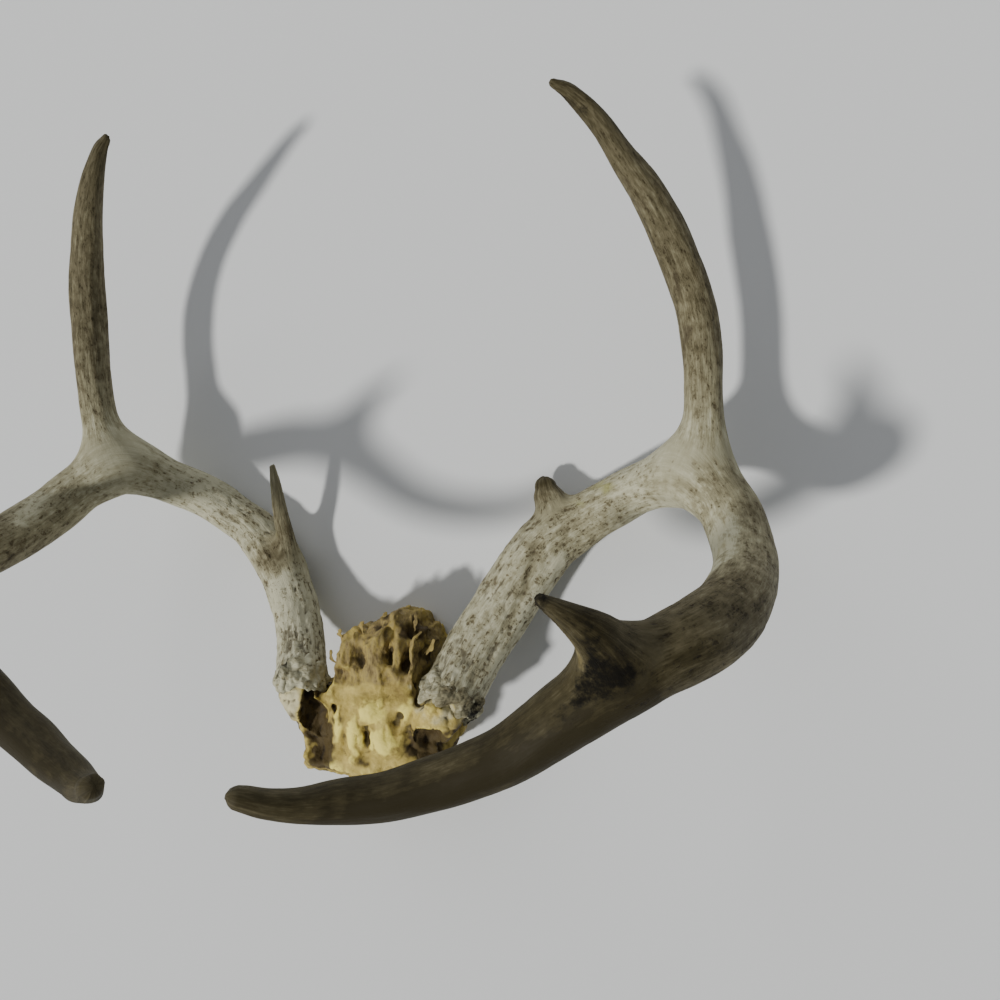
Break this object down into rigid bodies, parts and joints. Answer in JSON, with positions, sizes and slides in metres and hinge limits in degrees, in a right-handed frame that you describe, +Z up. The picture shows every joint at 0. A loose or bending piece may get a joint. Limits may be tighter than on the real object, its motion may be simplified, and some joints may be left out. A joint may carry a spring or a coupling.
{
  "type": "deer antler rack",
  "caption": "White-tailed deer antlers on the sawn forehead bone that they grew from, with curved beams, burrs and upright tines, lying on its back.",
  "frame": {"origin": "on the resting plane, under the middle of the whole rack", "axes": "+X to the deer's left, across both antlers; +Y from the forehead towards the back of the head, along the long tines; +Z up, from the sawn face of the bone to the tips of the beams"},
  "size_m": [0.4176, 0.352, 0.2246],
  "materials": {
    "antler": "weathered antler, grey-beige to brown, satin on the rubbed tips",
    "forehead_bone": "dry ochre bone with brown dried tissue, matt"
  },
  "bodies": {
    "root": {"skull_plate": "forehead_bone", "left_lower_beam": "antler", "left_upper_beam": "antler", "left_long_tine": "antler", "left_front_tine": "antler", "left_brow_tine": "antler", "right_lower_beam": "antler", "right_upper_beam": "antler", "right_long_tine": "antler", "right_front_tine": "antler", "right_brow_tine": "antler"}
  },
  "joints": []
}
